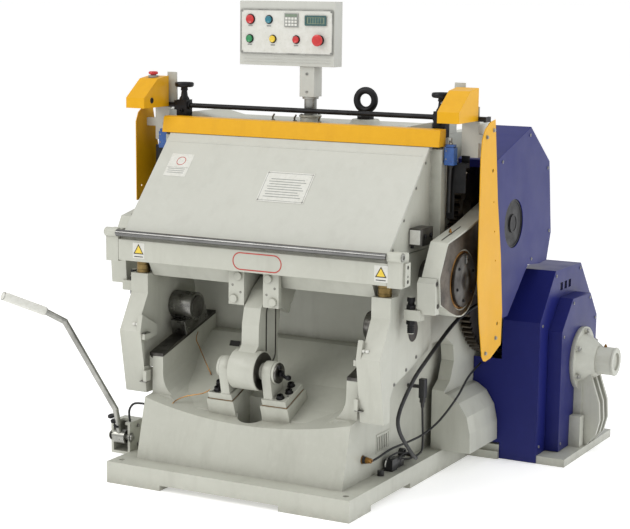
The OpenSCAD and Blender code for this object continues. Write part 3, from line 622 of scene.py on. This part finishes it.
s = Shape()
s.prism(cover_at, X, cover_up, rect(-512, 512, 428, 433), 0.35)
s.done("cover_seam", "platen", "grey", 0.15)
band(Shape(), (39, -345, 818), X, Z, rect(-97, 97, -31, 31, 30.9, 10), rect(-93, 93, -27, 27, 26.9, 10),
     0.5).done("oval_outline", "platen", "red_ink", 0)
for side, name in SIDES:
    x = 511 if side > 0 else -446
    Shape().prism((x, -345, 820), X, Z, rect(-25, 25, -28, 28, 2), 0.5).done("plain_label_" + name,
            "platen", "plate", 0.1)
    Shape().prism((x, -345.5, 808), X, Z, [(-21, 0), (21, 0), (1.2, 35), (-1.2, 35)], 0.4).done(
        "blank_triangle_" + name, "platen", "yellow", 0)
    s = Shape()
    s.prism((x, -345.5, 800), X, Z, rect(-18, 18, -3, 0), 0.3)
    band(s, (x, -345.9, 808), X, Z, [(-21, 0), (21, 0), (0.01, 36)], [(-16, 3), (16, 3), (0.01, 30.6)], 0.3)
    s.done("blank_triangle_rim_" + name, "platen", "black_plastic", 0)
    s = Shape()
    for z in (843, 812, 795):
        s.cap_screw((side * 591, -310, z), X * side, 6.6 if z != 812 else 4.5, 2.6)
    s.done("end_block_screws_" + name, "platen", "dark", 0.3)
    s = Shape()
    s.turned((side * 586.1, -340, 879), X * side,
             [(0, 14), (3, 14), (4.4, 12.6), (4.4, 7.6, 6), (1.4, 7.4, 6), (1.4, 0.1)], 36)
    s.done("bar_end_screw_" + name, "platen", "zinc", 0.3)
    s = Shape()
    s.turned((side * 484, -256, 738), Z, [(0, 24.3), (1.6, 25.1), (3.2, 24.3)], 40)
    s.turned((side * 484, -256, 757), Z, [(0, 24.3), (1.6, 25.1), (3.2, 24.3)], 40)
    s.done("bumper_rings_" + name, "platen", "brass", 0)
    # guide block faces
    s = Shape().block(sorted((side * 524, side * 562)), (-155.4, -150), (896, 945))
    s.done("guide_face_" + name, "platen", "plate", 1)
    s = Shape()
    s.turned((side * 532, -150, 882), Z, [(0, 6), (8, 6)], 24)
    s.turned((side * 568, -80, 922), X * side, [(0, 8, 6), (4.5, 8, 6), (5.5, 7)], 24)
    s.turned((side * 568, -126, 922), X * side, [(0, 8, 6), (4.5, 8, 6), (5.5, 7)], 24)
    s.done("guide_bolts_" + name, "platen", "black", 0.4)
    # leg fittings
    s = Shape()
    for y, z in ((-72, 491), (-152, 460), (-246, 426)):
        s.cap_screw((side * 519.2, y, z), X * side, 6.5, 3)
    s.done("leg_side_screws_" + name, "platen", "zinc", 0.3)
    s = Shape()
    for x in (452, 466):
        s.turned((side * x, -345, 516), Z,
                 [(0, 6, 6), (9, 6, 6), (9, 3.4), (34, 3.4), (34, 7), (36, 7.4), (42, 6.6), (43, 3)], 24)
    s.done("jaw_nuts_" + name, "platen", "white_plastic", 0.5)
    s = Shape().block(sorted((side * 419, side * 448)), (-351, -314), (520.2, 523))
    s.block(sorted((side * 419, side * 448)), (-343, -313), (341.5, 345))
    s.done("jaw_gibs_" + name, "platen", "steel", 0.6)
    # cheek plates
    s = Shape()
    s.turned((side * 60, -300, 757), -Y, [(0, 15), (6, 15), (8, 13.6), (8, 0.1)], 36)
    s.turned((side * 78, -300, 676), -Y, [(0, 15), (6, 15), (8, 13.6), (8, 0.1)], 36)
    s.done("cheek_heads_" + name, "platen", "casting", 0.6)
    s = Shape().cap_screw((side * 84, -299, 724), -Y, 4, 1.6).cap_screw((side * 52, -299, 700), -Y, 4, 1.6)
    s.done("cheek_small_screws_" + name, "platen", "dark", 0.2)
    s = Shape()
    for z in (890, 980, 1080, 1160):
        s.cap_screw((side * 519.4, -340 + (z - 871) * 0.92 + 46, z), X * side, 5, 2.4)
    s.done("cover_side_screws_" + name, "platen", "zinc", 0.3)

# ---- platen trunnions and connecting rods ----------------------------------------------
for side, name in SIDES:
    rod = "con_rod_" + name[0]
    s = Shape()
    s.turned((side * 656, *TRUNNION), X * side, [(0, 101), (1.6, 101), (3.4, 99.4), (3.4, 93), (0, 93)], 72)
    s.done("rod_bearing_ring_" + name, rod, "bronze", 0.4)
    s = Shape()
    profile = [(0, 90), (1.6, 89), (3, 80), (2.4, 62), (4.6, 58), (5.4, 40), (5.4, 22), (2.4, 18), (2.4, 0.1)]
    s.turned((side * 667.6, *TRUNNION), X * side, profile, 72)
    s.done("trunnion_face_" + name, "platen", "dark", 0.4)
    s = Shape()
    for k in range(6):
        t = math.radians(60 * k + 20)
        s.cap_screw((side * 669.6, TRUNNION[0] + 71 * math.cos(t), TRUNNION[1] + 71 * math.sin(t)),
                    X * side, 5.6, 4)
    s.done("trunnion_screws_" + name, "platen", "black", 0.3)
    Shape().block(sorted((side * 668, side * 676)), (-16, -4), (824, 852)).done("trunnion_key_" + name,
            "platen", "steel", 0.8)
    s = Shape()
    s.turned((side * 627, -49, 931), Z,
             [(0, 6, 6), (5, 6, 6), (5, 4.4), (8, 4.4), (8, 2.8), (12, 3), (13.4, 2.2)], 24)
    s.turned((side * 627, 300, 1006.5), Z,
             [(0, 6, 6), (5, 6, 6), (5, 4.4), (8, 4.4), (8, 2.8), (12, 3), (13.4, 2.2)], 24)
    s.done("rod_nipples_" + name, rod, "bronze", 0.3)
    # The band on the con rod's outer face, in the darker rod face colour, paints the shade that face lies in.
    edge = [(-198, 795), (-136, 903), (62, 938), (494, 1051), (550, 936), (125, 768), (112, 728),
            (82, 682), (35, 650), (-10, 641), (-52, 647), (-104, 665), (-186, 704)]
    outer, inner = ray_band(Vector(TRUNNION), edge, 105)
    s = Shape()
    band(s, (side * 659, 0, 0), Y, Z, outer, inner, side * 0.8)
    s.done("rod_side_face_" + name, rod, "shaded_rod_face", 0.2)
    s = Shape()
    s.prism((side * 627 - 2, -120, 913.9), (0, 0.984, 0.177), (1, 0, 0), rect(0, 160, 0, 4), 0.8)
    s.done("rod_parting_line_" + name, rod, "dark", 0.2)
    s = Shape()
    for y, z in ((-206, 778), (-194, 700)):
        s.cap_screw((side * 650.2, y, z), X * side, 8, 3.4)
    s.done("nose_screws_" + name, rod, "dark", 0.3)
    s = Shape()
    prof = [(0, 10.4)]
    for k in range(15):
        prof += [(2 + k * 7, 12.6), (5.4 + k * 7, 11.2)]
    s.turned((side * 558, -204, 602), Z, prof + [(110, 11.2), (114, 9)], 28)
    s.turned((side * 558, -204, 684), Z, [(0, 17, 6), (13, 17, 6), (15, 15.4), (15, 9)], 24)
    s.turned((side * 558, -204, 633), Z, [(0, 15.4), (2, 17, 6), (14.6, 17, 6), (14.6, 9)], 24)
    s.turned((side * 558, -204, 710), Z, [(0, 15, 6), (13, 15, 6), (15, 13)], 24)
    s.done("stop_bolt_" + name, rod, "black", 0.3)

# ---- swing arm, bowl and rails -----------------------------------------------------------
s = Shape()
band(s, (34, 0, 0), Y, Z, arm_slot(37), arm_slot(28.8), 0.8)
s.done("arm_slot_face", "arm", "dark", 0.2)
s = Shape()
s.turned((52, *ARM_PIN), X, [(0, 66), (0.8, 66), (1.2, 64), (1.2, 0.1)], 64)
s.done("arm_boss_face", "arm", "dark", 0.2)
s = Shape()
s.turned((114, *ARM_PIN), X, [(0, 36), (5, 36), (7, 34), (7, 24), (5.4, 23), (5.4, 8), (12, 8),
                              (12, 0.1)], 48)
s.done("arm_pin_washer", "arm", "dark", 0.5)
s = Shape()
s.turned((121, *ARM_PIN), X, [(0, 13, 6), (9, 13, 6), (10.6, 11.4), (10.6, 0.1)], 24)
s.turned((120, -334, 458), X, [(0, 8, 6), (9, 8, 6), (10, 7), (10, 0.1)], 24)
s.wire([(122, *ARM_PIN), (136, -326, 430), (148, -332, 424), (160, -338, 426)], 5.5, 14)
s.turned((158, -338, 426), (0.9, -0.3, 0.1), [(0, 9), (6, 9.6), (12, 8), (13, 4)], 24)
s.done("arm_pin_lock", "machine", "black", 0.4)
tilt = Vector((0, math.cos(math.radians(20)), math.sin(math.radians(20))))
up = Vector((0, -tilt.z, tilt.y))
base = Vector((0, -340, 317))
for side, name in SIDES:
    s = Shape()
    for x, y in ((126, 22), (140, 62), (126, 104)):
        p = base + X * side * x + tilt * y + up * 25
        s.turned(p, up, [(0, 15), (1.6, 15), (2, 14)], 28)
        s.cap_screw(p + up * 1.6, up, 12, 12)
    s.done("bracket_screws_" + name, "machine", "black", 0.5)
    s = Shape()
    s.turned(base + X * side * 146 + tilt * 40 + up * 24.6, up, [(0, 4), (0.9, 4), (1, 3.6)], 16)
    s.done("bracket_dowel_" + name, "machine", "dark", 0)
    s = Shape().prism(base + X * (58 if side > 0 else -159) + tilt * -1.6 + up * -0.6, X, tilt,
                      rect(0, 101, 0, 131), 2.2)
    s.done("bracket_shims_" + name, "machine", "bronze", 0.3)
    s = Shape()
    a = math.radians(15.6)
    rail = Vector((0, math.cos(a), math.sin(a)))
    rail_up = Vector((0, -math.sin(a), math.cos(a)))
    for d in (60, 170, 280):
        s.cap_screw(Vector((side * 399, -305, 447)) + rail * d - rail_up * 2.6, rail_up, 7, 3)
    s.done("rail_screws_" + name, "machine", "black", 0.3)
    s = Shape().turned(Vector((side * 446, -100, 590)), X * side * -1,
                       [(94, 41), (96, 41), (97.4, 39.6), (97.4, 22), (95.6, 21), (95.6, 0.1)], 48)
    s.done("slipper_pin_face_" + name, "platen", "dark", 0.4)
s = Shape()
s.wire([(-352, -96, 494), (-346, -118, 470), (-330, -120, 440), (-300, -128, 392), (-262, -150, 352)],
       1.8, 8)
s.wire([(-318, -352, 262), (-300, -330, 288), (-262, -316, 306), (-200, -300, 322), (-160, -286, 352)],
       1.8, 8)
s.done("oil_lines", "machine", "bronze", 0)
# The bowl port is a near-black sheet: painted shade for the hollow behind it.
Shape().prism((-262, -26, 428), X, (0, 0.45, 0.89), rect(0, 42, 0, 32, 1), 1.4).done("bowl_port",
        "machine", "shade_hole", 0.2)

# ---- base side: grille, gland, plugs -------------------------------------------------------
s = Shape()
band(s, (414, 0, 0), Y, Z, rect(-158, -54, 146, 216, 3), rect(-151, -61, 153, 209, 1), 2)
s.done("vent_frame", "machine", "casting", 0.4)
# The vent's back is a near-black sheet behind the grille: painted shade for the inside of the base.
s = Shape().block((407, 408.4), (-150, -62), (154, 208))
s.done("vent_back", "machine", "shade_hole", 0.3)
s = Shape()
s.turned((427, -262, 153), X, [(0, 12.4, 6), (9, 12.4, 6), (10, 11), (10, 9), (20, 9), (22, 7.4),
                               (22, 4.4), (2, 4.2)], 36)
s.turned((414, -262, 153), X, [(0, 15.6), (2.4, 15.6), (3, 15), (3, 12)], 36)
s.done("cable_gland", "machine", "bronze", 0.4)
s = Shape()
ring = [(430 + 3 * math.sin(2 * math.pi * k / 24), -96 + 17 * math.cos(2 * math.pi * k / 24),
         105 + 17 * math.sin(2 * math.pi * k / 24))
        for k in range(23)]
s.wire(ring, 2.6, 10, 3)
s.done("tag_ring", "machine", "white_plastic", 0)
s = Shape()
s.prism((462, 82, 306), X, Y, rect(0, 24, 0, 24, 3), 70)
s.prism((465, 85, 289), X, Y, rect(0, 18, 0, 18, 3), 18)
s.turned((474, 94, 270), Z, [(0, 6), (20, 8)], 24)
s.block((414, 463), (89, 99), (340, 352))
s.done("plug_hanging", "machine", "black_plastic", 1)
s = Shape().wire([(474, 94, 272), (474, 98, 220), (470, 112, 150), (462, 118, 100), (446, 70, 86),
                  (440, 20, 92), (436, -20, 100)], 4, 12)
s.done("plug_lead", "machine", "rubber", 0)
s = Shape()
for y, z, h in ((-108, 81, 36), (-66, 80, 30), (-34, 79, 26)):
    s.prism((424, y, z), X, Y, rect(0, 28, 0, 30, 3), h)
    s.prism((427, y + 3, z + h), X, Y, rect(0, 22, 0, 24, 3), 6)
s.done("loose_plugs", "machine", "black_plastic", 1)
s = Shape()
s.wire([(436, -96, 118), (446, -110, 132), (452, -60, 136), (450, -10, 122), (440, 34, 112)], 3.4, 10)
s.wire([(444, -50, 108), (462, -30, 128), (470, 20, 120), (456, 62, 100)], 3.4, 10)
s.done("loose_leads", "machine", "rubber", 0)

# ---- lever, lever box ------------------------------------------------------------------------
s = Shape()
a, b = Vector((-680, -586, 616)), Vector((-760, -722, 685))
ax = (b - a).normalized()
prof = [(0, 12), (3, 15.4)]
for k in range(12):
    prof += [(8 + 13 * k, 16.4), (11 + 13 * k, 16.4), (14 + 13 * k, 15.4)]
s.turned(a, ax, prof + [(170, 15), (172.4, 13), (172.6, 0.1)], 32)
s.done("lever_grip", "lever", "white_plastic", 0.4)
s = Shape()
for k in range(3):
    p = Vector((-530 - 8 * k, -366 - 6 * k, 170 + 18 * k))
    s.turned(p, (-0.05, -0.28, 0.96), [(0, 12.6), (1, 13.6), (7, 13.6), (8, 12.6)], 28)
s.done("lever_clamps", "lever", "black", 0.3)
s = Shape()
for x in (-566, -485):
    sx = 1 if x > -500 else -1
    s.turned((x, -345, 130), X * sx, [(0, 18), (2, 18), (2.6, 17), (2.6, 13), (8, 12), (9, 10)], 32)
s.turned((-485, -300, 96), X, [(0, 7, 6), (5, 7, 6), (6, 6)], 24)
s.turned((-485, -300, 166), X, [(0, 7, 6), (5, 7, 6), (6, 6)], 24)
s.done("lever_box_bosses", "machine", "zinc", 0.4)

# ---- cross rod, clamps, wheels ------------------------------------------------------------------
for side, name in SIDES:
    body = "wheel_" + name[0]
    c = Vector((side * 524, 86, 1384))
    s = Shape()
    n = 24
    prof = [(29, 9), (33, 10), (36, 6), (36, -2), (32, -7), (26, -8), (22, -6), (23, 0)]
    for i in range(n):
        t0, t1 = 2 * math.pi * i / n, 2 * math.pi * (i + 1) / n
        ra = [s.bm.verts.new(c + Vector((r * math.cos(t0), r * math.sin(t0), h))) for r, h in prof]
        rb = [s.bm.verts.new(c + Vector((r * math.cos(t1), r * math.sin(t1), h))) for r, h in prof]
        for k in range(len(prof)):
            m = (k + 1) % len(prof)
            s.bm.faces.new((ra[k], ra[m], rb[m], rb[k]))
    bmesh.ops.remove_doubles(s.bm, verts=s.bm.verts, dist=0.01)
    for k in range(3):
        t = 2 * math.pi * k / 3 + 0.5
        d = Vector((math.cos(t), math.sin(t), 0))
        s.wire([c + d * 9 + Z * -3, c + d * 18 + Z * -4, c + d * 28 + Z * -1], 4.4, 12, 4)
    s.turned(c - Z * 19.5, Z, [(0, 10.1), (0, 14), (10, 12.4), (16, 12.4), (20, 9), (21, 4), (21, 0.1)], 36)
    s.done("wheel_" + name, body, "black", 0.3)
    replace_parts(bpy.data.objects["wheel_" + name], "handwheel_" + name)
    s = Shape()
    s.turned((side * 524, 86, 1330), Z, [(0, 19), (4, 19), (14, 13), (30, 11), (34, 11)], 36)
    s.turned((side * 546, 86, 1309), X * side, [(0, 16.5), (8, 16.5), (10, 15), (14, 11)], 36)
    s.turned((side * 502, 86, 1309), X * side * -1, [(0, 15.5), (5, 15.5), (7, 14), (7, 9.4)], 36)
    for z in (1258, 1290):
        s.cap_screw((side * 524, 66, z), -Y, 7, 7)
    s.done("clamp_fittings_" + name, "machine", "black", 0.5)
s = Shape()
s.wire([(556, 96, 1330), (548, 84, 1346), (536, 72, 1358)], 4.2, 12)
s.turned((538, 74, 1356), (-0.6, -0.6, 0.5), [(0, 6), (8, 7), (12, 5)], 24)
s.done("clamp_lever", "machine", "ground", 0.3)

# ---- limit switches -----------------------------------------------------------------------------
for side, name in SIDES:
    x = side * 582
    s = Shape().block((x - 18, x + 18), (26, 57.5), (1151, 1212)).block((x - 15, x + 15), (29, 55),
            (1212, 1222))
    s.block((x - 20, x + 20), (24, 57.5), (1160, 1165))
    s.done("limit_switch_" + name, "machine", "sensor_blue", 1.2)
    s = Shape().turned((x, 40, 1222), Z, [(0, 7), (6, 7), (8, 5), (14, 5)], 24)
    s.turned((x, 38, 1238), X, [(-4, 7), (4, 7)], 28)
    for z in (1172, 1200):
        s.cap_screw((x - 11, 26.4, z), -Y, 2.6, 1.6)
    s.done("switch_roller_" + name, "machine", "zinc", 0.4)
    s = Shape().turned((x, 44, 1151), -Z, [(0, 9), (7, 9), (10, 7)], 24)
    s.wire([(x, 44, 1146), (x - side * 4, 48, 1100), (x - side * 6, 50.5, 1040),
            (x - side * 6, 50.5, 985)], 6, 12)
    s.done("switch_hose_" + name, "machine", "rubber", 0)

# ---- covers, guards and outer bearing ---------------------------------------------------------------
s = Shape()
for y, z in ((250, 1150), (510, 1226), (700, 1090), (735, 850), (560, 765), (240, 620)):
    s.cap_screw((689.4, y, z), X, 6, 3)
s.done("gear_cover_screws", "machine", "zinc", 0.3)
s = Shape()
for y, z in ((540, 60), (540, 520), (668, 690), (930, 686), (1030, 560), (1030, 60)):
    s.cap_screw((751.4, y, z), X, 6, 3)
for y, z in ((625, 60), (625, 470), (720, 584), (900, 580), (970, 490), (970, 60)):
    s.cap_screw((805.4, y, z), X, 5.5, 3)
s.done("belt_cover_screws", "machine", "zinc", 0.3)
for side, name in SIDES:
    s = Shape()
    for y, z in (((60, 1240), (120, 1270)) if side < 0 else ((70, 1250), (200, 530), (130, 1270),
                                                             (110, 490))):
        s.hex_bolt((side * 702, y, z), X * side, 6, 5)
    s.done("guard_bolts_" + name, "machine", "zinc", 0.3)
    s = Shape()
    band(s, (side * 687.5, *CRANK), Y, Z, circle(34),
         circle(27), side * 1.6)
    s.done("cap_boss_" + name, "machine", "black", 0.3)
s = Shape()
for k in range(6):
    t = math.radians(60 * k + 30)
    s.hex_bolt((832, CLUTCH[0] + 108 * math.cos(t), CLUTCH[1] + 108 * math.sin(t)), X, 8.4, 7)
s.done("bearing_flange_bolts", "machine", "zinc", 0.4)
s = Shape()
s.turned((940, *CLUTCH), X,
         [(0, 53.2), (3, 54.4), (7, 54.4), (9.8, 52.6), (9.8, 35), (2, 34.6)], 64)
s.done("bearing_mouth_rim", "machine", "casting", 0.4)
s = Shape()
s.turned((905, CLUTCH[0], CLUTCH[1] + 51), Z, [(0, 7, 6), (6, 7, 6), (6, 4.4), (10, 4.4), (13, 2.6)], 24)
s.done("bearing_nipple", "machine", "bronze", 0.3)
Shape().prism((806.4, 912, 180), Y, Z, rect(0, 40, 0, 30, 2), 1).done(
    "plain_plate", "machine", "plate", 0.2)

# ---- pole and box stem ------------------------------------------------------------------------------
s = Shape()
s.turned((-13, 130, 1267), Z, [(18, 36), (18.1, 41), (24, 41), (26, 38), (26, 23.2)], 48)
s.turned((-13, 130, 1356.6), Z, [(0, 30.2), (1, 31), (0.9, 23)], 48)
s.done("pole_flange", "machine", "casting", 0.6)
s = Shape()
for k in range(4):
    t = math.radians(90 * k + 45)
    s.cap_screw((-13 + 33.5 * math.cos(t), 130 + 33.5 * math.sin(t), 1292), Z, 4.4, 4)
s.done("pole_flange_screws", "machine", "zinc", 0.2)
s = Shape()
for z in (1376, 1440):
    s.cap_screw((-13, 100.4, z), -Y, 5, 3)
s.done("stem_screws", "panel", "zinc", 0.2)
s = Shape()
for x in (-150, -60, 40):
    s.wire([(x, 100, 1267), (x, 96, 1280), (x + 8, 94, 1292)], 3.5, 10)
    s.turned((x, 100, 1266.4), Z, [(0, 8, 6), (5, 8, 6), (6, 6.6)], 24)
s.done("top_beam_studs", "machine", "zinc", 0.2)

# ---- light and floor --------------------------------------------------------
def area(name, place, target, size, power, colour=(1, 1, 1)):
    data = bpy.data.lights.new(name, "AREA")
    data.shape = "RECTANGLE"
    data.size, data.size_y = size
    data.energy = power
    data.color = colour
    o = bpy.data.objects.new(name, data)
    scene.collection.objects.link(o)
    o.location = place
    o.rotation_mode = "QUATERNION"
    o.rotation_quaternion = (Vector(target) - Vector(place)).to_track_quat("-Z", "Y")


area("key", (-3.2, -4.2, 4.6), (0, 0, 0.7), (3.0, 3.0), 120, (1, 0.985, 0.95))
area("top", (0.4, -0.4, 5.0), (0, 0, 0.5), (4.0, 4.0), 60)
area("rim", (5.0, 1.5, 3.0), (0.6, 0.4, 0.7), (2.0, 3.0), 60, (0.93, 0.96, 1))
world = bpy.data.worlds.new("studio")
world.use_nodes = True
world.node_tree.nodes["Background"].inputs[0].default_value = (1, 1, 1, 1)
world.node_tree.nodes["Background"].inputs[1].default_value = 0.66
scene.world = world
floor_mesh = bpy.data.meshes.new("floor")
HALF = 400
floor_mesh.from_pydata([(-HALF, -HALF, 0), (HALF, -HALF, 0), (HALF, HALF, 0), (-HALF, HALF, 0)], [],
                       [(0, 1, 2, 3)])
floor = bpy.data.objects.new("floor", floor_mesh)
scene.collection.objects.link(floor)
k = Mat("floor_paper", Roughness=0.9, Specular_IOR_Level=0.1, Emission_Color=(1, 1, 1, 1),
        Emission_Strength=0.37)
k.color(k.mix(k.noise(0.7, 2), (0.96, 0.96, 0.96, 1), (0.98, 0.98, 0.98, 1)))
floor_mesh.materials.append(k.material)
